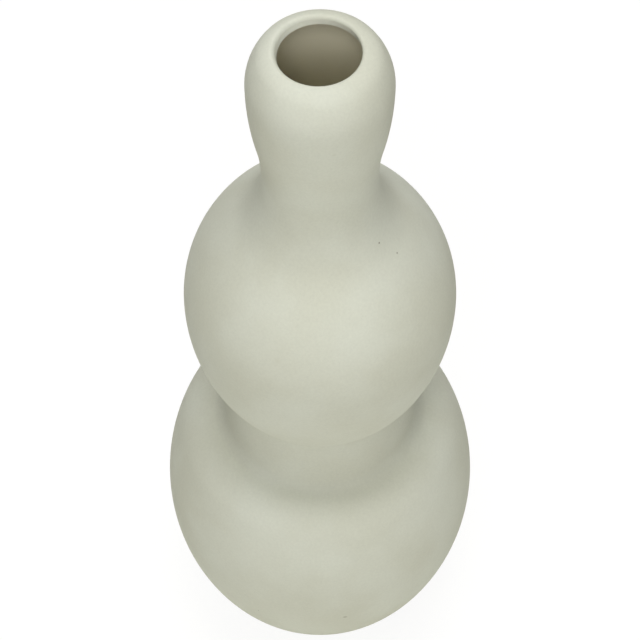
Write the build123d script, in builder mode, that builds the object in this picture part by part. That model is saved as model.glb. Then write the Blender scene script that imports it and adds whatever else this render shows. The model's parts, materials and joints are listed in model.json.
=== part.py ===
from build123d import *
import math
import os

# A gourd vase of three bulbs in matte stoneware, 300 mm tall, standing on the XY plane with its axis on Z.
# It is built as a potter builds it: sections of wall and a base slab, joined with rings of slip, on a thrown
# foot ring, with a coat of glaze poured inside. All sizes are in millimetres.

# Rises from one level of the outline to the next, from the foot to the lip
foot_height = 3.0
lower_under_rise = 64.2
middle_shoulder_rise = 65.4
bud_under_rise = 41.6
crown_rise = 14.9

# Outside radii where the wall stands upright, and at its foot; the waist's follows from the arcs
base_radius = 30.7
lower_belly_radius = 54.0
middle_belly_radius = 44.6
neck_radius = 18.3
bud_swell = 4.1

# Radii of the arcs from the lower belly round the shoulder, up the collar and out to the middle belly
belly_arc_radius = 98.0
shoulder_arc_radius = 15.2
collar_foot_radius = 5.6
crease_radius = 4.0
underside_arc_radius = 40.0
middle_arc_radius = 80.8
# How far the lower belly's arc and the collar climb
belly_arc_rise = 31.5
collar_rise = 18.0
# How far the wall leans, in degrees: in at the collar's foot, out at the ends of the middle bulb's underside
collar_lean = 9.2
crease_lean = 37.4
underside_lean = 26.8

# The mouth: its throat and the rounding of its lip
mouth_radius = 12.8
lip_round = 0.4

# Thicknesses of the clay, the slip in the joints and the glaze inside
wall = 3.0
slab_thickness = 5.0
slip = 0.8
glaze = 0.4

# The foot ring, set in from the edge of the slab
foot_inset = 2.2
foot_width = 6.0
foot_round = 0.8
slab_round = 1.2

# How the outline's arcs divide the way between two levels: the share of the lower arc
middle_shoulder_share = 0.634
bud_under_share = 0.380
# The crown's arc as a share of the distance from the lip's crest out to the bud's belly
crown_share = 0.761

# Levels of the base, worked out from the rises
slab_top = foot_height + slab_thickness
lower_bottom = slab_top + slip
lower_belly_level = foot_height + lower_under_rise

# Radii, worked out from the sizes above
bud_belly_radius = neck_radius + bud_swell
lip_crest_radius = mouth_radius + lip_round
foot_radius = base_radius - foot_inset

# Which way the outside faces where two arcs meet
shoulder_start_turn = math.asin(belly_arc_rise / belly_arc_radius)
toward_shoulder = Vector(math.cos(shoulder_start_turn), math.sin(shoulder_start_turn))
collar_turn = math.radians(collar_lean)
toward_collar = Vector(math.cos(collar_turn), math.sin(collar_turn))
crease_turn = math.radians(crease_lean)
toward_crease = Vector(math.cos(crease_turn), -math.sin(crease_turn))
underside_turn = math.radians(underside_lean)
toward_underside = Vector(math.cos(underside_turn), -math.sin(underside_turn))

# The way from the crease's arc up to the middle belly's, centre to centre, and the waist that it leads to
crease_to_underside = toward_crease * -(crease_radius + underside_arc_radius)
underside_to_middle = toward_underside * (underside_arc_radius - middle_arc_radius)
crease_to_middle = crease_to_underside + underside_to_middle
waist_radius = middle_belly_radius - middle_arc_radius - crease_to_middle.X - crease_radius

# Centres of the arcs, each of which touches the next; the collar stands upright at the waist's joint
belly_arc_centre = Vector(lower_belly_radius - belly_arc_radius, lower_belly_level)
shoulder_arc_centre = belly_arc_centre + toward_shoulder * (belly_arc_radius - shoulder_arc_radius)
collar_arc_radius = collar_rise / math.sin(collar_turn)
foot_to_collar = toward_collar * (collar_arc_radius - collar_foot_radius)
collar_foot_reach = waist_radius + collar_arc_radius - foot_to_collar.X - shoulder_arc_centre.X
collar_foot_climb = math.sqrt((shoulder_arc_radius + collar_foot_radius) ** 2 - collar_foot_reach**2)
collar_foot_centre = shoulder_arc_centre + Vector(collar_foot_reach, collar_foot_climb)
toward_foot = (collar_foot_centre - shoulder_arc_centre).normalized()
collar_arc_centre = collar_foot_centre + foot_to_collar
crease_centre = Vector(waist_radius + crease_radius, collar_arc_centre.Y + slip)
underside_arc_centre = crease_centre + crease_to_underside
middle_arc_centre = underside_arc_centre + underside_to_middle

# Levels from the joint at the waist up to the lip
lower_top = collar_arc_centre.Y
middle_bottom = lower_top + slip
middle_belly_level = middle_arc_centre.Y
middle_top = middle_belly_level + middle_shoulder_rise
mouth_bottom = middle_top + slip
bud_belly_level = mouth_bottom + bud_under_rise
lip_level = bud_belly_level + crown_rise

# The points of the outline where the wall stands upright
lower_belly = Vector(lower_belly_radius, lower_belly_level)
waist_below = Vector(waist_radius, lower_top)
waist_above = Vector(waist_radius, middle_bottom)
middle_belly = Vector(middle_belly_radius, middle_belly_level)
neck_below = Vector(neck_radius, middle_top)
neck_above = Vector(neck_radius, mouth_bottom)
bud_belly = Vector(bud_belly_radius, bud_belly_level)

up = (0, 1)
down = (0, -1)
outward = (1, 0)
inward = (-1, 0)


def set_in(point, inset):
    """Move an upright point of the outline towards the axis."""
    return Vector(point.X - inset, point.Y)


def under_radius(level, inset):
    """Radius of the lower bulb's underside at a level, set in by the inset.

    One arc runs from the slab's edge to the belly, where it stands upright."""
    reach = lower_belly_radius - base_radius
    arc_radius = (reach**2 + lower_under_rise**2) / (2 * reach)
    depth = lower_belly_level - level
    return lower_belly_radius - arc_radius + math.sqrt((arc_radius - inset) ** 2 - depth**2)


def under_point(level, inset):
    """Point of the lower bulb's underside at a level, set in by the inset."""
    return Vector(under_radius(level, inset), level)


def draw_under(level, inset):
    """Draw the underside of the lower bulb, from its belly down to a level."""
    TangentArc(set_in(lower_belly, inset), under_point(level, inset), tangent=down)


def draw_rim(bottom, top, inset):
    """Draw the stretch of the lower bulb's underside between two levels."""
    half_way = under_point((bottom + top) / 2, inset)
    ThreePointArc(under_point(bottom, inset), half_way, under_point(top, inset))


def draw_shoulder(inset):
    """Draw the lower bulb from its belly round the shoulder, and the collar from its foot to the waist."""
    shoulder_start = belly_arc_centre + toward_shoulder * (belly_arc_radius - inset)
    shoulder_end = shoulder_arc_centre + toward_foot * (shoulder_arc_radius - inset)
    collar_start = collar_foot_centre - toward_collar * (collar_foot_radius + inset)
    TangentArc(set_in(lower_belly, inset), shoulder_start, tangent=up)
    TangentArc(shoulder_start, shoulder_end, tangent=(-toward_shoulder.Y, toward_shoulder.X))
    TangentArc(shoulder_end, collar_start, tangent=(-toward_foot.Y, toward_foot.X))
    TangentArc(set_in(waist_below, inset), collar_start, tangent=down)


def draw_underside(inset):
    """Draw the middle bulb from the waist to its belly: a crease that hollows, and two arcs that bulge."""
    underside_start = crease_centre - toward_crease * (crease_radius + inset)
    underside_end = middle_arc_centre + toward_underside * (middle_arc_radius - inset)
    TangentArc(set_in(waist_above, inset), underside_start, tangent=up)
    TangentArc(underside_start, underside_end, tangent=(-toward_crease.Y, toward_crease.X))
    TangentArc(set_in(middle_belly, inset), underside_end, tangent=down)


def draw_swell(start, end, share, inset):
    """Draw the two arcs that join two upright points, set in square to the outline by the inset.

    The arcs meet on the straight line between their ends, and an inset moves that meeting along the line."""
    reach = end.X - start.X
    rise = end.Y - start.Y
    inset_share = share + 2 * inset * reach / (reach**2 + rise**2)
    inset_start = set_in(start, inset)
    inset_end = set_in(end, inset)
    meeting = inset_start + (inset_end - inset_start) * inset_share
    TangentArc(inset_start, meeting, tangent=up)
    TangentArc(inset_end, meeting, tangent=down)


def draw_crown(inset):
    """Draw the shoulder arc and the tighter crown arc from the bud's belly to the lip's crest."""
    reach = bud_belly_radius - lip_crest_radius
    crown_radius = crown_share * reach
    climb = crown_rise - crown_radius
    shoulder_radius = (reach**2 + climb**2 - crown_radius**2) / (2 * (reach - crown_radius))
    shoulder_centre = Vector(bud_belly_radius - shoulder_radius, bud_belly_level)
    crown_centre = Vector(lip_crest_radius, lip_level - crown_radius)
    along = (crown_centre - shoulder_centre).normalized()
    meeting = shoulder_centre + along * (shoulder_radius - inset)
    TangentArc(set_in(bud_belly, inset), meeting, tangent=up)
    TangentArc(Vector(lip_crest_radius, lip_level - inset), meeting, tangent=outward)


def draw_inside(inset):
    """Draw the inner face of the whole wall, from the glazed floor's edge to the underside of the lip."""
    floor_level = slab_top + inset - wall
    draw_under(floor_level, inset)
    draw_shoulder(inset)
    Line(set_in(waist_below, inset), set_in(waist_above, inset))
    draw_underside(inset)
    draw_swell(middle_belly, neck_below, middle_shoulder_share, inset)
    Line(set_in(neck_below, inset), set_in(neck_above, inset))
    draw_swell(neck_above, bud_belly, bud_under_share, inset)
    draw_crown(inset)


def draw_joint(first, second, height):
    """Draw the upright section of a ring of slip between two radii."""
    with Locations((first, height)):
        Rectangle(second - first, slip, align=(Align.MIN, Align.MIN))


os.makedirs("parts", exist_ok=True)

# Foot ring: the vase stands on its rounded lower edge
with BuildPart() as foot_ring:
    with BuildSketch():
        Circle(foot_radius)
        Circle(foot_radius - foot_width, mode=Mode.SUBTRACT)
    extrude(amount=foot_height)
    fillet(foot_ring.faces().sort_by(Axis.Z)[0].edges(), radius=foot_round)
foot_ring.part.label = "foot_ring"
export_step(foot_ring.part, "parts/foot_ring.step")

# Base slab: its rim carries on the curve of the lower bulb
with BuildPart() as base_slab:
    with BuildSketch(Plane.XZ):
        with BuildLine():
            Polyline(under_point(slab_top, 0), (0, slab_top), (0, foot_height), under_point(foot_height, 0))
            draw_rim(foot_height, slab_top, 0)
        make_face()
    revolve(axis=Axis.Z)
    fillet(base_slab.faces().sort_by(Axis.Z)[0].edges(), radius=slab_round)
base_slab.part.label = "base_slab"
export_step(base_slab.part, "parts/base_slab.step")

# Ring of slip between the slab and the foot of the wall
with BuildPart() as base_luting:
    with BuildSketch(Plane.XZ):
        with BuildLine():
            Line(under_point(slab_top, wall), under_point(slab_top, 0))
            draw_rim(slab_top, lower_bottom, 0)
            Line(under_point(lower_bottom, 0), under_point(lower_bottom, wall))
            draw_rim(slab_top, lower_bottom, wall)
        make_face()
    revolve(axis=Axis.Z)
base_luting.part.label = "base_luting"
export_step(base_luting.part, "parts/base_luting.step")

# Lower bulb: the wall from the slab to the waist
with BuildPart() as lower_bulb:
    with BuildSketch(Plane.XZ):
        with BuildLine():
            draw_under(lower_bottom, 0)
            draw_shoulder(0)
            Line(waist_below, set_in(waist_below, wall))
            draw_shoulder(wall)
            draw_under(lower_bottom, wall)
            Line(under_point(lower_bottom, wall), under_point(lower_bottom, 0))
        make_face()
    revolve(axis=Axis.Z)
lower_bulb.part.label = "lower_bulb"
export_step(lower_bulb.part, "parts/lower_bulb.step")

# Ring of slip at the waist
with BuildPart() as waist_luting:
    with BuildSketch(Plane.XZ):
        draw_joint(waist_radius - wall, waist_radius, lower_top)
    revolve(axis=Axis.Z)
waist_luting.part.label = "waist_luting"
export_step(waist_luting.part, "parts/waist_luting.step")

# Middle bulb: the wall from the waist to the neck
with BuildPart() as middle_bulb:
    with BuildSketch(Plane.XZ):
        with BuildLine():
            draw_underside(0)
            draw_swell(middle_belly, neck_below, middle_shoulder_share, 0)
            Line(neck_below, set_in(neck_below, wall))
            draw_swell(middle_belly, neck_below, middle_shoulder_share, wall)
            draw_underside(wall)
            Line(set_in(waist_above, wall), waist_above)
        make_face()
    revolve(axis=Axis.Z)
middle_bulb.part.label = "middle_bulb"
export_step(middle_bulb.part, "parts/middle_bulb.step")

# Ring of slip at the neck
with BuildPart() as neck_luting:
    with BuildSketch(Plane.XZ):
        draw_joint(neck_radius - wall, neck_radius, middle_top)
    revolve(axis=Axis.Z)
neck_luting.part.label = "neck_luting"
export_step(neck_luting.part, "parts/neck_luting.step")

# Mouth bulb: the neck, the bud and the cut lip with its straight throat
with BuildPart() as mouth_bulb:
    with BuildSketch(Plane.XZ):
        with BuildLine():
            lip_crest = Vector(lip_crest_radius, lip_level)
            throat_top = Vector(mouth_radius, lip_level - lip_round)
            throat_bottom = Vector(mouth_radius, lip_level - wall)
            draw_swell(neck_above, bud_belly, bud_under_share, 0)
            draw_crown(0)
            TangentArc(lip_crest, throat_top, tangent=inward)
            Line(throat_top, throat_bottom)
            Line(throat_bottom, Vector(lip_crest_radius, lip_level - wall))
            draw_crown(wall)
            draw_swell(neck_above, bud_belly, bud_under_share, wall)
            Line(set_in(neck_above, wall), neck_above)
        make_face()
    revolve(axis=Axis.Z)
mouth_bulb.part.label = "mouth_bulb"
export_step(mouth_bulb.part, "parts/mouth_bulb.step")

# Inner glaze: one unbroken coat over the floor and the inside of the wall, up to the lip
with BuildPart() as inner_glaze:
    with BuildSketch(Plane.XZ):
        with BuildLine():
            coat = wall + glaze
            floor_edge = under_point(slab_top, wall)
            coat_floor_edge = under_point(slab_top + glaze, coat)
            Polyline(coat_floor_edge, (0, slab_top + glaze), (0, slab_top), floor_edge)
            draw_inside(wall)
            Line((lip_crest_radius, lip_level - wall), (lip_crest_radius, lip_level - coat))
            draw_inside(coat)
        make_face()
    revolve(axis=Axis.Z)
inner_glaze.part.label = "inner_glaze"
export_step(inner_glaze.part, "parts/inner_glaze.step")
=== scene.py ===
"""Looks of a gourd vase with three bulbs, in matte engobe over stoneware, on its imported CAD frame."""

import json
import logging
import math
from dataclasses import dataclass, field
from enum import Enum
from typing import Any

import bmesh
import bpy
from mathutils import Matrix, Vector


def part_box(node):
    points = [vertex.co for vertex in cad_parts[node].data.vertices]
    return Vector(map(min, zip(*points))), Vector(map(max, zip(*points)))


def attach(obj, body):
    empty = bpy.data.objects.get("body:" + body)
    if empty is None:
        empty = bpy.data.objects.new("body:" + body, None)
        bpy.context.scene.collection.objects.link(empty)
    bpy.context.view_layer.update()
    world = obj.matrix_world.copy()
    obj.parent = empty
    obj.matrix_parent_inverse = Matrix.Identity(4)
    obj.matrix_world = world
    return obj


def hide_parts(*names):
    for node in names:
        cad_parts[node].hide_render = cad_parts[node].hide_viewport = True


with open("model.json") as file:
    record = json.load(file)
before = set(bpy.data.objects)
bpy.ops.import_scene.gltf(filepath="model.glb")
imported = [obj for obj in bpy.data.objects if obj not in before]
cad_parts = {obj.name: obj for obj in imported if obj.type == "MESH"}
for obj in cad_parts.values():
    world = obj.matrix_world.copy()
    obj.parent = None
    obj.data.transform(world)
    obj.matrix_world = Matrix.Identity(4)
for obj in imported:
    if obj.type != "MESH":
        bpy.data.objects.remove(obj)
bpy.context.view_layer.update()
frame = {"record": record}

log = logging.getLogger("gourd_vase")

MM = 0.001

# A point of a section: its radius from the vase's axis and its height above the table, in metres
Point = tuple[float, float]


class Slot(Enum):
    """The record's material slots."""

    STONEWARE = "stoneware"
    SLIP = "slip"
    BARE_CLAY = "bare_clay"
    LINER_GLAZE = "liner_glaze"


def linear(colour: str) -> tuple[float, float, float, float]:
    """Turn an sRGB hex colour into the linear values that a shader takes.

    Args:
        colour: The colour as "#RRGGBB".

    Returns:
        Red, green and blue in linear light, and an alpha of one.
    """
    channels = []
    for start in (1, 3, 5):
        value = int(colour[start : start + 2], 16) / 255
        channels.append(value / 12.92 if value <= 0.04045 else ((value + 0.055) / 1.055) ** 2.4)
    return (channels[0], channels[1], channels[2], 1.0)


def add_node(
    tree: bpy.types.NodeTree,
    kind: str,
    settings: dict[str, Any] | None = None,
    inputs: dict[str | int, Any] | None = None,
) -> bpy.types.Node:
    """Add a node to a tree, with its settings and its inputs.

    Args:
        tree: The tree that the node joins.
        kind: The node's type.
        settings: The node's own properties.
        inputs: What each socket gets, by name or place: another node's socket to link, or a value.

    Returns:
        The new node.
    """
    node = tree.nodes.new(kind)
    for name, value in (settings or {}).items():
        setattr(node, name, value)
    for socket, value in (inputs or {}).items():
        if isinstance(value, bpy.types.NodeSocket):
            tree.links.new(value, node.inputs[socket])
        else:
            node.inputs[socket].default_value = value
    return node


def away(point: Point, angle: float, distance: float) -> Point:
    """Find the point that lies some way from another in a direction.

    Args:
        point: The point to start from.
        angle: The direction, from straight outwards and turning up.
        distance: How far away it lies.

    Returns:
        The point there.
    """
    return (point[0] + distance * math.cos(angle), point[1] + distance * math.sin(angle))


def ease(share: float) -> float:
    """Smooth a share between zero and one, so that it starts and ends gently."""
    return share * share * (3 - 2 * share)


def arc(centre: Point, radius: float, start: float, end: float) -> list[Point]:
    """Place points along an arc, close enough together to look round.

    Args:
        centre: The arc's centre.
        radius: Its radius.
        start: The angle it starts at, from straight outwards and turning up.
        end: The angle it ends at.

    Returns:
        The points from the start to the end, with both.
    """
    widest_turn = math.radians(4.0)
    longest_step = 1.6 * MM
    turn = abs(end - start)
    steps = max(2, math.ceil(turn / widest_turn), math.ceil(turn * radius / longest_step))
    return [away(centre, start + (end - start) * step / steps, radius) for step in range(steps + 1)]


def swell(low: Point, high: Point, share: float, inset: float) -> list[Point]:
    """Join two points at which the wall stands upright with two arcs, set in square to the outline.

    Args:
        low: The lower point of the outline.
        high: The upper point of the outline.
        share: The lower arc's share of the way.
        inset: How far inside the outline the arcs run.

    Returns:
        The points from the lower end to the upper end.
    """
    reach = high[0] - low[0]
    rise = high[1] - low[1]
    side = math.copysign(1.0, reach)
    both_radii = (reach**2 + rise**2) / (2 * abs(reach))
    low_radius = share * both_radii
    high_radius = both_radii - low_radius
    turn = 2 * math.atan2(abs(reach), rise)
    low_centre = (low[0] + side * low_radius, low[1])
    high_centre = (high[0] - side * high_radius, high[1])
    flip = math.pi if side > 0 else 0.0
    low_arc = arc(low_centre, low_radius + side * inset, flip, flip - side * turn)
    high_arc = arc(high_centre, high_radius - side * inset, math.pi - flip - side * turn, math.pi - flip)
    return low_arc + high_arc[1:]


@dataclass
class Outline:
    """The outside of the whole vase, from the boxes of the frame's nodes and the levels of its bellies.

    The fields are what the boxes don't give: the levels of the bellies, and the arcs between them.
    """

    lower_belly_level: float = 67.2 * MM
    middle_belly_level: float = 177.3 * MM
    bud_belly_level: float = 285.1 * MM
    base_radius: float = 30.7 * MM
    belly_arc_rise: float = 31.5 * MM
    belly_arc_radius: float = 98.0 * MM
    shoulder_arc_radius: float = 15.2 * MM
    collar_foot_radius: float = 5.6 * MM
    collar_rise: float = 18.0 * MM
    collar_lean: float = math.radians(9.2)
    crease_radius: float = 4.0 * MM
    crease_lean: float = math.radians(37.4)
    underside_arc_radius: float = 40.0 * MM
    underside_lean: float = math.radians(26.8)
    middle_arc_radius: float = 80.8 * MM
    middle_shoulder_share: float = 0.634
    bud_under_share: float = 0.380
    crown_share: float = 0.761
    lip_round: float = 0.4 * MM
    soft_lip: float = 1.2 * MM

    def __post_init__(self) -> None:
        """Read the levels and radii that the frame's nodes hold."""
        slab_low, slab_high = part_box("base_slab")
        bulb_low, bulb_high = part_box("lower_bulb")
        waist_low, waist_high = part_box("waist_luting")
        middle_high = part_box("middle_bulb")[1]
        neck_low, neck_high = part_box("neck_luting")
        mouth_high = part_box("mouth_bulb")[1]
        mouth = next(mount for mount in frame["record"]["mounts"] if mount["name"] == "mouth")
        self.slab_bottom: float = slab_low.z
        self.slab_top: float = slab_high.z
        self.wall_bottom: float = bulb_low.z
        self.lip_level: float = mouth_high.z
        self.mouth_radius: float = mouth["dims"]["r_mm"] * MM
        self.crest_radius: float = self.mouth_radius + self.lip_round
        self.lower_belly: Point = (bulb_high.x, self.lower_belly_level)
        self.waist_below: Point = (waist_high.x, waist_low.z)
        self.waist_above: Point = (waist_high.x, waist_high.z)
        self.middle_belly: Point = (middle_high.x, self.middle_belly_level)
        self.neck_below: Point = (neck_high.x, neck_low.z)
        self.neck_above: Point = (neck_high.x, neck_high.z)
        self.bud_belly: Point = (mouth_high.x, self.bud_belly_level)
        self.crown_radius: float = self.crown_share * (mouth_high.x - self.crest_radius)
        self.crown_centre: Point = (self.crest_radius, self.lip_level - self.crown_radius)

    def under(self, bottom: float, top: float, inset: float) -> list[Point]:
        """Follow the lower bulb's underside between two levels.

        Args:
            bottom: The level it starts at.
            top: The level it ends at, no higher than the belly.
            inset: How far inside the outline it runs.

        Returns:
            The points from the bottom to the top.
        """
        reach = self.lower_belly[0] - self.base_radius
        rise = self.lower_belly_level - self.slab_bottom
        radius = (reach**2 + rise**2) / (2 * reach)
        centre = (self.lower_belly[0] - radius, self.lower_belly_level)
        inner = radius - inset
        start = math.asin((bottom - self.lower_belly_level) / inner)
        end = math.asin((top - self.lower_belly_level) / inner)
        return arc(centre, inner, start, end)

    def lower_shoulder(self, inset: float) -> list[Point]:
        """Follow the lower bulb from its belly round the shoulder and up the collar to the waist.

        Two arcs bulge, a tight one hollows at the collar's foot, and the collar draws in a little as
        it climbs.

        Args:
            inset: How far inside the outline it runs.

        Returns:
            The points from the belly to the waist.
        """
        start = math.asin(self.belly_arc_rise / self.belly_arc_radius)
        belly_centre = (self.lower_belly[0] - self.belly_arc_radius, self.lower_belly_level)
        shoulder_centre = away(belly_centre, start, self.belly_arc_radius - self.shoulder_arc_radius)
        collar_start = math.pi + self.collar_lean
        collar_radius = self.collar_rise / math.sin(self.collar_lean)
        collar_centre = (self.waist_below[0] + collar_radius, self.waist_below[1])
        foot_centre = away(collar_centre, collar_start, collar_radius - self.collar_foot_radius)
        end = math.atan2(foot_centre[1] - shoulder_centre[1], foot_centre[0] - shoulder_centre[0])
        points = arc(belly_centre, self.belly_arc_radius - inset, 0.0, start)
        points += arc(shoulder_centre, self.shoulder_arc_radius - inset, start, end)[1:]
        points += arc(foot_centre, self.collar_foot_radius + inset, math.pi + end, collar_start)[1:]
        return points + arc(collar_centre, collar_radius + inset, collar_start, math.pi)[1:]

    def underside(self, inset: float) -> list[Point]:
        """Follow the middle bulb from the waist up to its belly.

        A tight arc turns out of the collar, and two arcs bulge up to the belly.

        Args:
            inset: How far inside the outline it runs.

        Returns:
            The points from the waist to the belly.
        """
        crease_centre = (self.waist_above[0] + self.crease_radius, self.waist_above[1])
        crease_end = math.pi - self.crease_lean
        under_centre = away(crease_centre, crease_end, self.crease_radius + self.underside_arc_radius)
        middle_centre = (self.middle_belly[0] - self.middle_arc_radius, self.middle_belly_level)
        points = arc(crease_centre, self.crease_radius + inset, math.pi, crease_end)
        under_radius = self.underside_arc_radius - inset
        points += arc(under_centre, under_radius, -self.crease_lean, -self.underside_lean)[1:]
        return points + arc(middle_centre, self.middle_arc_radius - inset, -self.underside_lean, 0.0)[1:]

    def middle(self, inset: float) -> list[Point]:
        """Follow the middle bulb from the waist up to the neck, set in by the inset."""
        shoulder = swell(self.middle_belly, self.neck_below, self.middle_shoulder_share, inset)
        return self.underside(inset) + shoulder[1:]

    def bud(self, inset: float, crown_end: float = math.pi / 2) -> list[Point]:
        """Follow the mouth bulb from the neck up over its crown, set in by the inset.

        Args:
            inset: How far inside the outline it runs.
            crown_end: The angle at which the crown's arc ends; a right angle is the crest of the lip.

        Returns:
            The points from the neck to the crown's end.
        """
        reach = self.bud_belly[0] - self.crest_radius
        climb = self.crown_centre[1] - self.bud_belly_level
        shoulder_radius = (reach**2 + climb**2 - self.crown_radius**2) / (2 * (reach - self.crown_radius))
        shoulder_centre = (self.bud_belly[0] - shoulder_radius, self.bud_belly_level)
        meeting = math.atan2(climb, self.crown_centre[0] - shoulder_centre[0])
        points = swell(self.neck_above, self.bud_belly, self.bud_under_share, inset)
        points += arc(shoulder_centre, shoulder_radius - inset, 0.0, meeting)[1:]
        return points + arc(self.crown_centre, self.crown_radius - inset, meeting, crown_end)[1:]

    def rolled_bud(self) -> list[Point]:
        """Follow the outside of the mouth bulb from the neck over the lip, which a wet sponge has softened.

        Returns:
            The points from the neck to the top of the throat's straight cut.
        """
        centre_radius = self.mouth_radius + self.soft_lip
        out = centre_radius - self.crest_radius
        up = math.sqrt((self.crown_radius - self.soft_lip) ** 2 - out**2)
        start = math.atan2(up, out)
        lip = arc((centre_radius, self.crown_centre[1] + up), self.soft_lip, start, math.pi)
        return self.bud(0.0, start) + lip[1:]


@dataclass
class Lathe:
    """Turns a section round the vase's axis with one Geometry Nodes tree, which all the pieces share.

    The tree lays out a grid, one column for each segment and one row for each point of the section,
    bends the grid round the axis and welds its seams and poles.
    """

    segments: int = 192
    crease: float = math.radians(38.0)
    weld: float = 0.01 * MM
    tree: bpy.types.NodeTree = field(init=False)

    def __post_init__(self) -> None:
        """Build the tree."""
        self.tree = bpy.data.node_groups.new("lathe", "GeometryNodeTree")
        self.name_sockets()
        self.link_nodes()

    def name_sockets(self) -> None:
        """Give the tree its named inputs and its output."""
        inputs = {
            "Section": "NodeSocketGeometry",
            "Segments": "NodeSocketInt",
            "Crease": "NodeSocketFloat",
            "Weld": "NodeSocketFloat",
            "Clay": "NodeSocketMaterial",
        }
        for name, kind in inputs.items():
            self.tree.interface.new_socket(name, in_out="INPUT", socket_type=kind)
        self.tree.interface.new_socket("Piece", in_out="OUTPUT", socket_type="NodeSocketGeometry")

    def link_nodes(self) -> None:
        """Lay the grid out, bend it round the axis, weld it and give it its material."""
        tree = self.tree
        given = add_node(tree, "NodeGroupInput").outputs
        sizes = add_node(
            tree,
            "GeometryNodeAttributeDomainSize",
            {"component": "MESH"},
            {0: given["Section"]},
        )
        rows = sizes.outputs["Point Count"]
        columns = add_node(
            tree,
            "FunctionNodeIntegerMath",
            {"operation": "ADD"},
            {0: given["Segments"], 1: 1},
        )
        corners = {"Vertices X": columns.outputs[0], "Vertices Y": rows}
        grid = add_node(tree, "GeometryNodeMeshGrid", None, corners)
        index = add_node(tree, "GeometryNodeInputIndex").outputs[0]
        row = add_node(tree, "FunctionNodeIntegerMath", {"operation": "MODULO"}, {0: index, 1: rows})
        column = add_node(tree, "FunctionNodeIntegerMath", {"operation": "DIVIDE_FLOOR"}, {0: index, 1: rows})
        place = add_node(tree, "GeometryNodeInputPosition").outputs[0]
        point = add_node(
            tree,
            "GeometryNodeSampleIndex",
            {"data_type": "FLOAT_VECTOR"},
            {"Geometry": given["Section"], "Value": place, "Index": row.outputs[0]},
        )
        section = add_node(tree, "ShaderNodeSeparateXYZ", None, {0: point.outputs[0]}).outputs
        step = add_node(
            tree,
            "ShaderNodeMath",
            {"operation": "DIVIDE"},
            {0: math.tau, 1: given["Segments"]},
        )
        angle = add_node(
            tree,
            "ShaderNodeMath",
            {"operation": "MULTIPLY"},
            {0: column.outputs[0], 1: step.outputs[0]},
        )
        cosine = add_node(tree, "ShaderNodeMath", {"operation": "COSINE"}, {0: angle.outputs[0]})
        sine = add_node(tree, "ShaderNodeMath", {"operation": "SINE"}, {0: angle.outputs[0]})
        across = add_node(
            tree,
            "ShaderNodeMath",
            {"operation": "MULTIPLY"},
            {0: section["X"], 1: cosine.outputs[0]},
        )
        along = add_node(
            tree,
            "ShaderNodeMath",
            {"operation": "MULTIPLY"},
            {0: section["X"], 1: sine.outputs[0]},
        )
        turned = add_node(
            tree,
            "ShaderNodeCombineXYZ",
            None,
            {"X": across.outputs[0], "Y": along.outputs[0], "Z": section["Z"]},
        )
        bent = add_node(
            tree,
            "GeometryNodeSetPosition",
            None,
            {"Geometry": grid.outputs["Mesh"], "Position": turned.outputs[0]},
        )
        welded = add_node(
            tree,
            "GeometryNodeMergeByDistance",
            None,
            {"Geometry": bent.outputs[0], "Distance": given["Weld"]},
        )
        smooth = add_node(
            tree,
            "GeometryNodeSetShadeSmooth",
            {"domain": "FACE"},
            {"Geometry": welded.outputs[0], "Shade Smooth": True},
        )
        corner = add_node(tree, "GeometryNodeInputMeshEdgeAngle").outputs["Unsigned Angle"]
        sharp = add_node(
            tree,
            "FunctionNodeCompare",
            {"data_type": "FLOAT", "operation": "GREATER_THAN"},
            {0: corner, 1: given["Crease"]},
        )
        creased = add_node(
            tree,
            "GeometryNodeSetShadeSmooth",
            {"domain": "EDGE"},
            {"Geometry": smooth.outputs[0], "Selection": sharp.outputs[0], "Shade Smooth": False},
        )
        realized = add_node(tree, "GeometryNodeRealizeInstances", None, {"Geometry": creased.outputs[0]})
        dressed = add_node(
            tree,
            "GeometryNodeSetMaterial",
            None,
            {"Geometry": realized.outputs[0], "Material": given["Clay"]},
        )
        add_node(tree, "NodeGroupOutput", None, {"Piece": dressed.outputs[0]})

    def turn(self, name: str, section: list[Point], clay: bpy.types.Material) -> bpy.types.Object:
        """Turn a section into a closed piece.

        Args:
            name: The piece's name.
            section: Its points, which end where they start or run from pole to pole.
            clay: Its material.

        Returns:
            The piece, as a plain mesh at the origin with its faces outwards.
        """
        mesh = bpy.data.meshes.new(name)
        mesh.from_pydata([(radius, 0.0, height) for radius, height in section], [], [])
        piece = bpy.data.objects.new(name, mesh)
        bpy.context.scene.collection.objects.link(piece)
        modifier = piece.modifiers.new("lathe", "NODES")
        modifier.node_group = self.tree
        values = {"Segments": self.segments, "Crease": self.crease, "Weld": self.weld, "Clay": clay}
        for item in self.tree.interface.items_tree:
            if item.name in values:
                modifier[item.identifier] = values[item.name]
        depsgraph = bpy.context.evaluated_depsgraph_get()
        piece.data = bpy.data.meshes.new_from_object(
            piece.evaluated_get(depsgraph), preserve_all_data_layers=True, depsgraph=depsgraph
        )
        piece.modifiers.remove(modifier)
        bpy.data.meshes.remove(mesh)
        piece.data.name = name
        shell = bmesh.new()
        shell.from_mesh(piece.data)
        bmesh.ops.recalc_face_normals(shell, faces=shell.faces)
        shell.to_mesh(piece.data)
        shell.free()
        return piece


@dataclass(frozen=True)
class Flaw:
    """A small mark that the photograph shows in the engobe, at its place on the vase in millimetres."""

    place: tuple[float, float, float]
    radius: float
    colour: str


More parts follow.
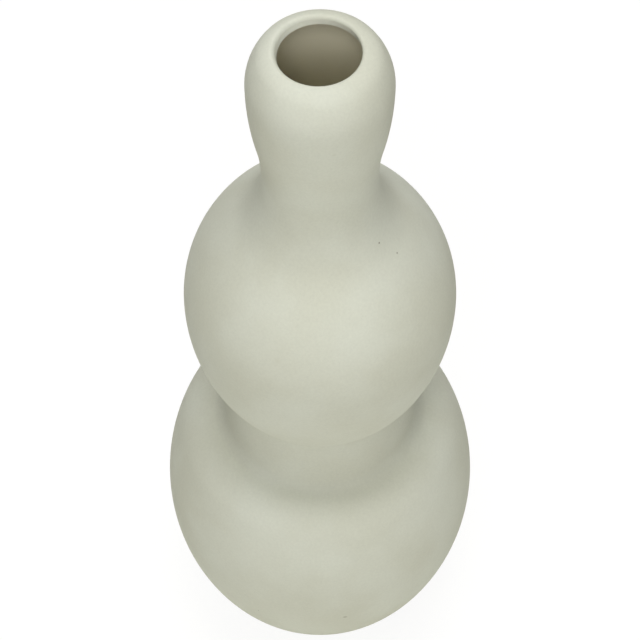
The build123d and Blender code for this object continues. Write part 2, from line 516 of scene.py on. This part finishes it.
@dataclass(frozen=True)
class Engobe:
    """Matte engobe, a brushed coat of pale fired clay, over stoneware.

    It is dry to the eye: it scatters light evenly with no shine. Its tone drifts slowly where the coat is
    thinner, it has a sandy grain, and here and there a pinhole, where gas came out of the clay. The cut
    edge of the mouth is painted paler, as painted light on it.
    """

    pale: str = "#DADCCD"
    thin: str = "#D3D4C3"
    # Painted light: the paler colour painted on the cut edge of the mouth
    painted_cut_light: str = "#F4F5E4"
    pinhole: str = "#8E8A78"
    roughness: float = 0.88
    ior: float = 1.5
    specular: float = 0.25
    cloud_mm: float = 34.0
    cloud_range: tuple[float, float] = (0.32, 0.68)
    # Coarser than the real sand, which would be too fine to show
    grain_mm: float = 0.9
    grain_range: tuple[float, float] = (0.25, 0.75)
    grain_tone: tuple[float, float] = (0.97, 1.03)
    relief_mm: float = 0.12
    relief_strength: float = 0.35
    pinhole_mm: float = 0.3
    pinhole_spacing_mm: float = 25.0
    # The share of a pinhole's and of a flaw's radius that is at its darkest
    pinhole_core: float = 0.4
    flaw_core: float = 0.3
    # Where the painted light on the cut edge of the mouth lies, in millimetres
    cut_centre_mm: tuple[float, float] = (-0.25, 0.5)
    painted_light_within_mm: float = 13.0
    painted_light_fade_mm: float = 0.9
    painted_light_above_mm: float = 290.0
    painted_light_below_mm: float = 299.4
    flaws: tuple[Flaw, ...] = (
        Flaw((18.4, -14.1, 225.0), 0.45, "#9A9683"),
        Flaw((24.1, -13.6, 219.0), 0.40, "#9A9683"),
        Flaw((8.9, -52.1, 52.2), 1.10, "#B9B8A6"),
        Flaw((-13.4, -39.2, 196.5), 1.40, "#D3D4C3"),
        Flaw((4.2, -21.9, 279.3), 1.10, "#D6D8C8"),
    )

    def paint_cut_light(self, tree: bpy.types.NodeTree, place: bpy.types.NodeSocket) -> bpy.types.NodeSocket:
        """Find where light is painted on the cut edge of the mouth: near the axis of the mouth's cut, high
        up, and under the lip's round.

        Args:
            tree: The material's tree.
            place: The socket that gives the place on the vase.

        Returns:
            A socket that is one on the cut edge of the mouth and zero elsewhere.
        """
        parts = add_node(tree, "ShaderNodeSeparateXYZ", None, {0: place}).outputs
        level = add_node(tree, "ShaderNodeCombineXYZ", None, {"X": parts["X"], "Y": parts["Y"]})
        centre = Vector((*self.cut_centre_mm, 0.0)) * MM
        reach = add_node(
            tree,
            "ShaderNodeVectorMath",
            {"operation": "DISTANCE"},
            {0: level.outputs[0], 1: centre},
        )
        near = add_node(
            tree,
            "ShaderNodeMapRange",
            {"interpolation_type": "SMOOTHSTEP"},
            {
                "Value": reach.outputs["Value"],
                "From Min": self.painted_light_within_mm * MM,
                "From Max": (self.painted_light_within_mm + self.painted_light_fade_mm) * MM,
                "To Min": 1.0,
                "To Max": 0.0,
            },
        )
        high = add_node(
            tree,
            "ShaderNodeMath",
            {"operation": "GREATER_THAN"},
            {0: parts["Z"], 1: self.painted_light_above_mm * MM},
        )
        under = add_node(
            tree,
            "ShaderNodeMapRange",
            {"interpolation_type": "SMOOTHSTEP"},
            {
                "Value": parts["Z"],
                "From Min": (self.painted_light_below_mm - self.painted_light_fade_mm) * MM,
                "From Max": self.painted_light_below_mm * MM,
                "To Min": 1.0,
                "To Max": 0.0,
            },
        )
        cut = add_node(
            tree,
            "ShaderNodeMath",
            {"operation": "MULTIPLY"},
            {0: near.outputs[0], 1: high.outputs[0]},
        )
        edge = add_node(
            tree,
            "ShaderNodeMath",
            {"operation": "MULTIPLY"},
            {0: cut.outputs[0], 1: under.outputs[0]},
        )
        return edge.outputs[0]

    def material(self) -> bpy.types.Material:
        """Build the material.

        Returns:
            The engobe, ready for a piece.
        """
        material = bpy.data.materials.new("matte_engobe_on_stoneware")
        material.use_nodes = True
        tree = material.node_tree
        place = add_node(tree, "ShaderNodeTexCoord").outputs["Object"]
        cloud = add_node(
            tree,
            "ShaderNodeTexNoise",
            None,
            {"Vector": place, "Scale": 1 / (self.cloud_mm * MM), "Detail": 3.0, "Roughness": 0.5},
        )
        grain = add_node(
            tree,
            "ShaderNodeTexNoise",
            None,
            {"Vector": place, "Scale": 1 / (self.grain_mm * MM), "Detail": 2.0, "Roughness": 0.6},
        )
        thinness = add_node(
            tree,
            "ShaderNodeMapRange",
            {"interpolation_type": "SMOOTHSTEP"},
            {
                "Value": cloud.outputs["Fac"],
                "From Min": self.cloud_range[0],
                "From Max": self.cloud_range[1],
            },
        )
        coat = add_node(
            tree,
            "ShaderNodeMix",
            {"data_type": "RGBA"},
            {0: thinness.outputs[0], 6: linear(self.pale), 7: linear(self.thin)},
        )
        # Painted light: the cut edge of the mouth is painted paler
        painted_cut_light = add_node(
            tree,
            "ShaderNodeMix",
            {"data_type": "RGBA"},
            {0: self.paint_cut_light(tree, place), 6: coat.outputs[2], 7: linear(self.painted_cut_light)},
        )
        sand = add_node(
            tree,
            "ShaderNodeMapRange",
            None,
            {
                "Value": grain.outputs["Fac"],
                "From Min": self.grain_range[0],
                "From Max": self.grain_range[1],
                "To Min": self.grain_tone[0],
                "To Max": self.grain_tone[1],
            },
        )
        grained = add_node(
            tree,
            "ShaderNodeVectorMath",
            {"operation": "SCALE"},
            {0: painted_cut_light.outputs[2], "Scale": sand.outputs[0]},
        )
        cells = add_node(
            tree,
            "ShaderNodeTexVoronoi",
            None,
            {"Vector": place, "Scale": 1 / (self.pinhole_spacing_mm * MM)},
        )
        hole = add_node(
            tree,
            "ShaderNodeMapRange",
            {"interpolation_type": "SMOOTHSTEP"},
            {
                "Value": cells.outputs["Distance"],
                "From Min": self.pinhole_core * self.pinhole_mm / self.pinhole_spacing_mm,
                "From Max": self.pinhole_mm / self.pinhole_spacing_mm,
                "To Min": 1.0,
                "To Max": 0.0,
            },
        )
        colour = add_node(
            tree,
            "ShaderNodeMix",
            {"data_type": "RGBA"},
            {0: hole.outputs[0], 6: grained.outputs[0], 7: linear(self.pinhole)},
        ).outputs[2]
        for flaw in self.flaws:
            centre = Vector(flaw.place) * MM
            reach = add_node(tree, "ShaderNodeVectorMath", {"operation": "DISTANCE"}, {0: place, 1: centre})
            mark = add_node(
                tree,
                "ShaderNodeMapRange",
                {"interpolation_type": "SMOOTHSTEP"},
                {
                    "Value": reach.outputs["Value"],
                    "From Min": self.flaw_core * flaw.radius * MM,
                    "From Max": flaw.radius * MM,
                    "To Min": 1.0,
                    "To Max": 0.0,
                },
            )
            colour = add_node(
                tree,
                "ShaderNodeMix",
                {"data_type": "RGBA"},
                {0: mark.outputs[0], 6: colour, 7: linear(flaw.colour)},
            ).outputs[2]
        relief = add_node(
            tree,
            "ShaderNodeMath",
            {"operation": "MULTIPLY_ADD"},
            {0: hole.outputs[0], 1: -1.0, 2: grain.outputs["Fac"]},
        )
        bump = add_node(
            tree,
            "ShaderNodeBump",
            None,
            {
                "Strength": self.relief_strength,
                "Distance": self.relief_mm * MM,
                "Height": relief.outputs[0],
            },
        )
        shader = tree.nodes["Principled BSDF"]
        shader.inputs["Roughness"].default_value = self.roughness
        shader.inputs["IOR"].default_value = self.ior
        shader.inputs["Specular IOR Level"].default_value = self.specular
        tree.links.new(colour, shader.inputs["Base Color"])
        tree.links.new(bump.outputs[0], shader.inputs["Normal"])
        return material


@dataclass(frozen=True)
class LinerGlaze:
    """Satin liner glaze, poured into the vase and out again.

    It is warmer and darker than the engobe and has a soft shine, with the slow streaks of a glaze that
    ran down. Towards the lip it is painted paler, as painted light that comes in through the mouth.
    """

    thick: str = "#ADA583"
    thin: str = "#BDB695"
    # Painted light: the pale colour that the inside fades to towards the lip
    rim: str = "#F8F3DC"
    roughness: float = 0.5
    ior: float = 1.5
    streak_mm: float = 7.0
    # How much the streaks are drawn out along the vase: their scale there as a share of that across it
    streak_draw: float = 0.2
    relief_mm: float = 0.15
    relief_strength: float = 0.2
    # The heights in millimetres between which the painted light fades in
    painted_light_from_mm: float = 258.0
    painted_light_to_mm: float = 292.0

    def material(self) -> bpy.types.Material:
        """Build the material.

        Returns:
            The glaze, ready for a piece.
        """
        material = bpy.data.materials.new("satin_liner_glaze")
        material.use_nodes = True
        tree = material.node_tree
        place = add_node(tree, "ShaderNodeTexCoord").outputs["Object"]
        drawn_out = add_node(
            tree,
            "ShaderNodeMapping",
            None,
            {"Vector": place, "Scale": (1.0, 1.0, self.streak_draw)},
        )
        streaks = add_node(
            tree,
            "ShaderNodeTexNoise",
            None,
            {"Vector": drawn_out.outputs[0], "Scale": 1 / (self.streak_mm * MM), "Detail": 3.0},
        )
        coat = add_node(
            tree,
            "ShaderNodeMix",
            {"data_type": "RGBA"},
            {0: streaks.outputs["Fac"], 6: linear(self.thick), 7: linear(self.thin)},
        )
        height = add_node(tree, "ShaderNodeSeparateXYZ", None, {0: place}).outputs["Z"]
        # Painted light: the inside is painted paler towards the lip, where light comes in through the mouth
        painted_light_ramp = add_node(
            tree,
            "ShaderNodeMapRange",
            {"interpolation_type": "SMOOTHSTEP"},
            {
                "Value": height,
                "From Min": self.painted_light_from_mm * MM,
                "From Max": self.painted_light_to_mm * MM,
            },
        )
        colour = add_node(
            tree,
            "ShaderNodeMix",
            {"data_type": "RGBA"},
            {0: painted_light_ramp.outputs[0], 6: coat.outputs[2], 7: linear(self.rim)},
        )
        bump = add_node(
            tree,
            "ShaderNodeBump",
            None,
            {
                "Strength": self.relief_strength,
                "Distance": self.relief_mm * MM,
                "Height": streaks.outputs["Fac"],
            },
        )
        shader = tree.nodes["Principled BSDF"]
        shader.inputs["Roughness"].default_value = self.roughness
        shader.inputs["IOR"].default_value = self.ior
        tree.links.new(colour.outputs[2], shader.inputs["Base Color"])
        tree.links.new(bump.outputs[0], shader.inputs["Normal"])
        return material


@dataclass(frozen=True)
class BareClay:
    """Bare stoneware, wiped clean of engobe so that the foot doesn't stick to the kiln shelf.

    It is a warmer buff than the coat, rougher, and freckled with the grog in the clay.
    """

    buff: str = "#BDB39C"
    toasted: str = "#AE9F84"
    grog: str = "#8C7F69"
    roughness: float = 0.95
    ior: float = 1.5
    specular: float = 0.2
    flash_mm: float = 22.0
    grog_mm: float = 1.4
    grog_range: tuple[float, float] = (0.12, 0.3)
    grog_share: float = 0.8
    relief_mm: float = 0.15
    relief_strength: float = 0.5

    def material(self) -> bpy.types.Material:
        """Build the material.

        Returns:
            The bare clay, ready for a piece.
        """
        material = bpy.data.materials.new("bare_wiped_stoneware")
        material.use_nodes = True
        tree = material.node_tree
        place = add_node(tree, "ShaderNodeTexCoord").outputs["Object"]
        flash = add_node(
            tree,
            "ShaderNodeTexNoise",
            None,
            {"Vector": place, "Scale": 1 / (self.flash_mm * MM), "Detail": 3.0},
        )
        clay = add_node(
            tree,
            "ShaderNodeMix",
            {"data_type": "RGBA"},
            {0: flash.outputs["Fac"], 6: linear(self.buff), 7: linear(self.toasted)},
        )
        cells = add_node(
            tree,
            "ShaderNodeTexVoronoi",
            None,
            {"Vector": place, "Scale": 1 / (self.grog_mm * MM)},
        )
        freckle = add_node(
            tree,
            "ShaderNodeMapRange",
            {"interpolation_type": "SMOOTHSTEP"},
            {
                "Value": cells.outputs["Distance"],
                "From Min": self.grog_range[0],
                "From Max": self.grog_range[1],
                "To Min": self.grog_share,
                "To Max": 0.0,
            },
        )
        freckled = add_node(
            tree,
            "ShaderNodeMix",
            {"data_type": "RGBA"},
            {0: freckle.outputs[0], 6: clay.outputs[2], 7: linear(self.grog)},
        )
        bump = add_node(
            tree,
            "ShaderNodeBump",
            None,
            {
                "Strength": self.relief_strength,
                "Distance": self.relief_mm * MM,
                "Height": cells.outputs["Distance"],
            },
        )
        shader = tree.nodes["Principled BSDF"]
        shader.inputs["Roughness"].default_value = self.roughness
        shader.inputs["IOR"].default_value = self.ior
        shader.inputs["Specular IOR Level"].default_value = self.specular
        tree.links.new(freckled.outputs[2], shader.inputs["Base Color"])
        tree.links.new(bump.outputs[0], shader.inputs["Normal"])
        return material


@dataclass
class Workshop:
    """What every sub-assembly works with: the outline, the lathe and a material for each slot."""

    outline: Outline
    lathe: Lathe
    finishes: dict[Slot, bpy.types.Material]

    def make(self, node: str, section: list[Point], slot: Slot) -> bpy.types.Object:
        """Turn a node's section and put the piece in the node's place.

        Args:
            node: The CAD node that the piece stands for.
            section: The points of its section.
            slot: The material slot that it takes.

        Returns:
            The piece, riding on the vase.
        """
        piece = self.lathe.turn(f"vase_{node}", section, self.finishes[slot])
        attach(piece, "root")
        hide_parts(node)
        log.info("%s: %d faces in %s", piece.name, len(piece.data.polygons), self.finishes[slot].name)
        return piece


@dataclass
class Foot:
    """The thrown foot ring, the base slab on it and the ring of slip that joins the wall to the slab."""

    workshop: Workshop
    wall: float = 3.0 * MM
    ring_round: float = 0.8 * MM
    ring_width: float = 6.0 * MM
    slab_round: float = 1.2 * MM
    # How far in and up the middle of the slab's round lies, as shares of the round
    slab_round_in: float = 0.24
    slab_round_up: float = 0.32

    def build(self) -> None:
        """Build the three pieces."""
        self.build_ring()
        self.build_slab()
        self.build_luting()

    def build_ring(self) -> None:
        """Turn the foot ring, with the rounded lower edges that it stands on."""
        low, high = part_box("foot_ring")
        outer = high.x
        inner = outer - self.ring_width
        edge = self.ring_round
        section = [(inner, high.z)]
        section += arc((inner + edge, low.z + edge), edge, math.pi, 1.5 * math.pi)
        section += arc((outer - edge, low.z + edge), edge, -0.5 * math.pi, 0.0)
        section += [(outer, high.z), (inner, high.z)]
        self.workshop.make("foot_ring", section, Slot.BARE_CLAY)

    def build_slab(self) -> None:
        """Turn the slab, whose rim carries on the curve of the lower bulb above a rounded edge."""
        outline = self.workshop.outline
        bottom = outline.slab_bottom
        rim = outline.under(bottom, outline.slab_top, 0.0)
        edge = self.slab_round
        edge_top = outline.under(bottom + edge, outline.slab_top, 0.0)
        corner = rim[0]
        middle = (corner[0] - self.slab_round_in * edge, bottom + self.slab_round_up * edge)
        section = [(0.0, bottom), (corner[0] - edge, bottom), middle]
        section += edge_top + [(0.0, outline.slab_top)]
        self.workshop.make("base_slab", section, Slot.STONEWARE)

    def build_luting(self) -> None:
        """Turn the ring of slip between the slab and the wall."""
        outline = self.workshop.outline
        outside = outline.under(outline.slab_top, outline.wall_bottom, 0.0)
        inside = outline.under(outline.slab_top, outline.wall_bottom, self.wall)
        section = outside + inside[::-1] + outside[:1]
        self.workshop.make("base_luting", section, Slot.SLIP)


@dataclass
class HandCut:
    """How the mouth was cut by hand: its opening is a little off the axis, more at the lip than below it."""

    lip_shift: tuple[float, float] = (-0.65 * MM, 0.6 * MM)
    foot_shift: tuple[float, float] = (0.15 * MM, 0.4 * MM)
    depth: float = 3.4 * MM
    fade_radius: float = 18.0 * MM
    fade_depths: float = 2.0

    def lean(self, piece: bpy.types.Object, outline: Outline) -> None:
        """Move the points round the mouth, less the farther they are from its edge.

        Args:
            piece: The piece whose mouth is cut.
            outline: The vase's outline.
        """
        for vertex in piece.data.vertices:
            below = (outline.lip_level - vertex.co.z) / self.depth
            radius = math.hypot(vertex.co.x, vertex.co.y)
            near = (self.fade_radius - radius) / (self.fade_radius - outline.mouth_radius)
            if below < self.fade_depths and near > 0:
                weight = ease(min(near, 1.0)) * min(self.fade_depths - below, 1.0)
                down = min(max(below, 0.0), 1.0)
                vertex.co.x += weight * (self.lip_shift[0] + down * (self.foot_shift[0] - self.lip_shift[0]))
                vertex.co.y += weight * (self.lip_shift[1] + down * (self.foot_shift[1] - self.lip_shift[1]))


@dataclass
class Wall:
    """The three bulbs of the wall and the rings of slip between them."""

    workshop: Workshop
    cut: HandCut
    thickness: float = 3.0 * MM

    def build(self) -> None:
        """Build the bulbs and the rings of slip, from the bottom up."""
        outline = self.workshop.outline
        outside = outline.under(outline.wall_bottom, outline.lower_belly_level, 0.0)
        outside += outline.lower_shoulder(0.0)[1:]
        inside = outline.under(outline.wall_bottom, outline.lower_belly_level, self.thickness)
        inside += outline.lower_shoulder(self.thickness)[1:]
        self.build_shell("lower_bulb", outside, inside)
        self.build_luting("waist_luting")
        self.build_shell("middle_bulb", outline.middle(0.0), outline.middle(self.thickness))
        self.build_luting("neck_luting")
        self.build_mouth()

    def build_shell(self, node: str, outside: list[Point], inside: list[Point]) -> bpy.types.Object:
        """Turn a stretch of wall between its outer and inner faces.

        Args:
            node: The CAD node that it stands for.
            outside: The points of its outer face, going up.
            inside: The points of its inner face, going up.

        Returns:
            The piece.
        """
        section = outside + inside[::-1] + outside[:1]
        return self.workshop.make(node, section, Slot.STONEWARE)

    def build_luting(self, node: str) -> None:
        """Turn a ring of slip, flush with the wall on both sides."""
        low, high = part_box(node)
        outer = high.x
        inner = outer - self.thickness
        section = [(inner, low.z), (outer, low.z), (outer, high.z), (inner, high.z), (inner, low.z)]
        self.workshop.make(node, section, Slot.SLIP)

    def build_mouth(self) -> None:
        """Turn the neck and the bud, with the rounded lip and the straight cut of the throat."""
        outline = self.workshop.outline
        throat_bottom = (outline.mouth_radius, outline.lip_level - self.thickness)
        outside = outline.rolled_bud() + [throat_bottom]
        mouth = self.build_shell("mouth_bulb", outside, outline.bud(self.thickness))
        self.cut.lean(mouth, outline)


@dataclass
class Liner:
    """The coat of glaze over the floor and the inside of the wall."""

    workshop: Workshop
    cut: HandCut
    wall: float = 3.0 * MM
    glaze: float = 0.4 * MM

    def face(self, inset: float) -> list[Point]:
        """Follow the inside of the vase from the middle of the floor up to the lip.

        Args:
            inset: How far inside the vase's outline it runs.

        Returns:
            The points from the axis to the lip.
        """
        outline = self.workshop.outline
        floor = outline.slab_top + inset - self.wall
        points = [(0.0, floor)]
        points += outline.under(floor, outline.lower_belly_level, inset)
        points += outline.lower_shoulder(inset)[1:]
        points += outline.middle(inset)
        return points + outline.bud(inset)

    def build(self) -> None:
        """Turn the coat, from the axis up its outer face and back down its inner face."""
        section = self.face(self.wall) + self.face(self.wall + self.glaze)[::-1]
        coat = self.workshop.make("inner_glaze", section, Slot.LINER_GLAZE)
        self.cut.lean(coat, self.workshop.outline)


@dataclass(frozen=True)
class SoftBox:
    """A large soft light that looks at the middle of the vase.

    Its azimuth turns to the right from the camera's side, and its elevation rises from level, in degrees.
    """

    name: str
    azimuth: float
    elevation: float
    power: float
    distance: float = 1.6
    width: float = 1.2

    def build(self, aim: Vector) -> None:
        """Put the light in its place.

        Args:
            aim: The point that it looks at.
        """
        lamp = bpy.data.lights.new(self.name, "AREA")
        lamp.shape = "SQUARE"
        lamp.size = self.width
        lamp.energy = self.power
        light = bpy.data.objects.new(self.name, lamp)
        azimuth = math.radians(self.azimuth)
        elevation = math.radians(self.elevation)
        level = math.cos(elevation)
        outwards = Vector((math.sin(azimuth) * level, -math.cos(azimuth) * level, math.sin(elevation)))
        light.location = aim + outwards * self.distance
        light.rotation_euler = outwards.to_track_quat("Z", "Y").to_euler()
        bpy.context.scene.collection.objects.link(light)


@dataclass
class Studio:
    """The white floor, the soft light and the camera at the photograph's place."""

    floor_size: float = 8.0
    floor_white: str = "#F4F3EC"
    shadow_share: float = 0.15
    paper_glow: float = 1.05
    room_light: float = 0.055
    camera_distance: float = 918.0 * MM
    camera_elevation: float = math.radians(55.5)
    camera_aim: float = 162.2 * MM
    camera_lens: float = 155.4
    camera_sensor: float = 36.0
    boxes: tuple[SoftBox, ...] = (
        SoftBox("overhead_softbox", 0.0, 90.0, 33.0, distance=3.0, width=0.9),
        SoftBox("overhead_fill_softbox", 0.0, 90.0, 3.7, distance=3.0, width=1.8),
        SoftBox("left_top_softbox", -90.0, 75.0, 7.2, distance=3.2, width=0.8),
        SoftBox("right_top_softbox", 90.0, 75.0, 8.0, distance=3.2, width=0.8),
        SoftBox("high_front_softbox", -11.0, 60.0, 19.2, distance=3.2, width=1.0),
        SoftBox("front_softbox", 0.0, 45.0, 14.2, distance=3.2, width=1.2),
        SoftBox("left_front_softbox", -15.0, 30.0, 1.9, width=1.0),
        SoftBox("right_front_softbox", 20.0, 26.0, 2.8, width=1.0),
        SoftBox("back_softbox", 180.0, 30.0, 4.6, width=1.2),
    )

    def build(self) -> None:
        """Build the floor, the lights, the world and the camera."""
        self.build_floor()
        self.build_world()
        for box in self.boxes:
            box.build(Vector((0.0, 0.0, self.camera_aim)))
        self.build_camera()
        bpy.context.scene.view_settings.view_transform = "Standard"

    def build_floor(self) -> None:
        """Lay a white paper floor, which the camera sees nearly white with the vase's shadow on it."""
        half = self.floor_size / 2
        mesh = bpy.data.meshes.new("paper_floor")
        corners = [(-half, -half, 0), (half, -half, 0), (half, half, 0), (-half, half, 0)]
        mesh.from_pydata(corners, [], [(0, 1, 2, 3)])
        floor = bpy.data.objects.new("paper_floor", mesh)
        bpy.context.scene.collection.objects.link(floor)
        material = bpy.data.materials.new("white_paper")
        material.use_nodes = True
        tree = material.node_tree
        tree.nodes.clear()
        paper = add_node(tree, "ShaderNodeBsdfDiffuse", None, {"Color": linear(self.floor_white)})
        white = add_node(tree, "ShaderNodeEmission", None, {"Strength": self.paper_glow})
        seen = add_node(tree, "ShaderNodeLightPath").outputs["Is Camera Ray"]
        share = add_node(
            tree,
            "ShaderNodeMath",
            {"operation": "MULTIPLY"},
            {0: seen, 1: 1 - self.shadow_share},
        )
        mixed = add_node(
            tree,
            "ShaderNodeMixShader",
            None,
            {0: share.outputs[0], 1: paper.outputs[0], 2: white.outputs[0]},
        )
        add_node(tree, "ShaderNodeOutputMaterial", None, {"Surface": mixed.outputs[0]})
        mesh.materials.append(material)

    def build_world(self) -> None:
        """Make the room white to the camera and to reflections, and give it an even, low light."""
        world = bpy.data.worlds.new("white_room")
        world.use_nodes = True
        tree = world.node_tree
        tree.nodes.clear()
        path = add_node(tree, "ShaderNodeLightPath").outputs
        direct = add_node(
            tree,
            "ShaderNodeMath",
            {"operation": "MAXIMUM"},
            {0: path["Is Camera Ray"], 1: path["Is Glossy Ray"]},
        )
        seen = add_node(
            tree,
            "ShaderNodeMath",
            {"operation": "MAXIMUM"},
            {0: direct.outputs[0], 1: path["Is Transmission Ray"]},
        )
        strength = add_node(
            tree,
            "ShaderNodeMapRange",
            None,
            {"Value": seen.outputs[0], "To Min": self.room_light, "To Max": 1.0},
        )
        room = add_node(
            tree,
            "ShaderNodeBackground",
            None,
            {"Color": (1.0, 1.0, 1.0, 1.0), "Strength": strength.outputs[0]},
        )
        add_node(tree, "ShaderNodeOutputWorld", None, {"Surface": room.outputs[0]})
        bpy.context.scene.world = world

    def build_camera(self) -> None:
        """Put the camera where the photograph was taken from."""
        lens = bpy.data.cameras.new("photo_camera")
        lens.lens = self.camera_lens
        lens.sensor_width = self.camera_sensor
        camera = bpy.data.objects.new("photo_camera", lens)
        level = self.camera_distance * math.cos(self.camera_elevation)
        rise = self.camera_distance * math.sin(self.camera_elevation)
        camera.location = (0.0, -level, self.camera_aim + rise)
        camera.rotation_euler = (math.pi / 2 - self.camera_elevation, 0.0, 0.0)
        bpy.context.scene.collection.objects.link(camera)
        bpy.context.scene.camera = camera


def main() -> None:
    """Build the vase from the foot up, then the studio round it."""
    logging.basicConfig(level=logging.INFO, format="%(name)s: %(message)s")
    engobe = Engobe().material()
    finishes = {
        Slot.STONEWARE: engobe,
        Slot.SLIP: engobe,
        Slot.BARE_CLAY: BareClay().material(),
        Slot.LINER_GLAZE: LinerGlaze().material(),
    }
    workshop = Workshop(Outline(), Lathe(), finishes)
    cut = HandCut()
    Foot(workshop).build()
    Wall(workshop, cut).build()
    Liner(workshop, cut).build()
    Studio().build()


if __name__ == "__main__":
    main()
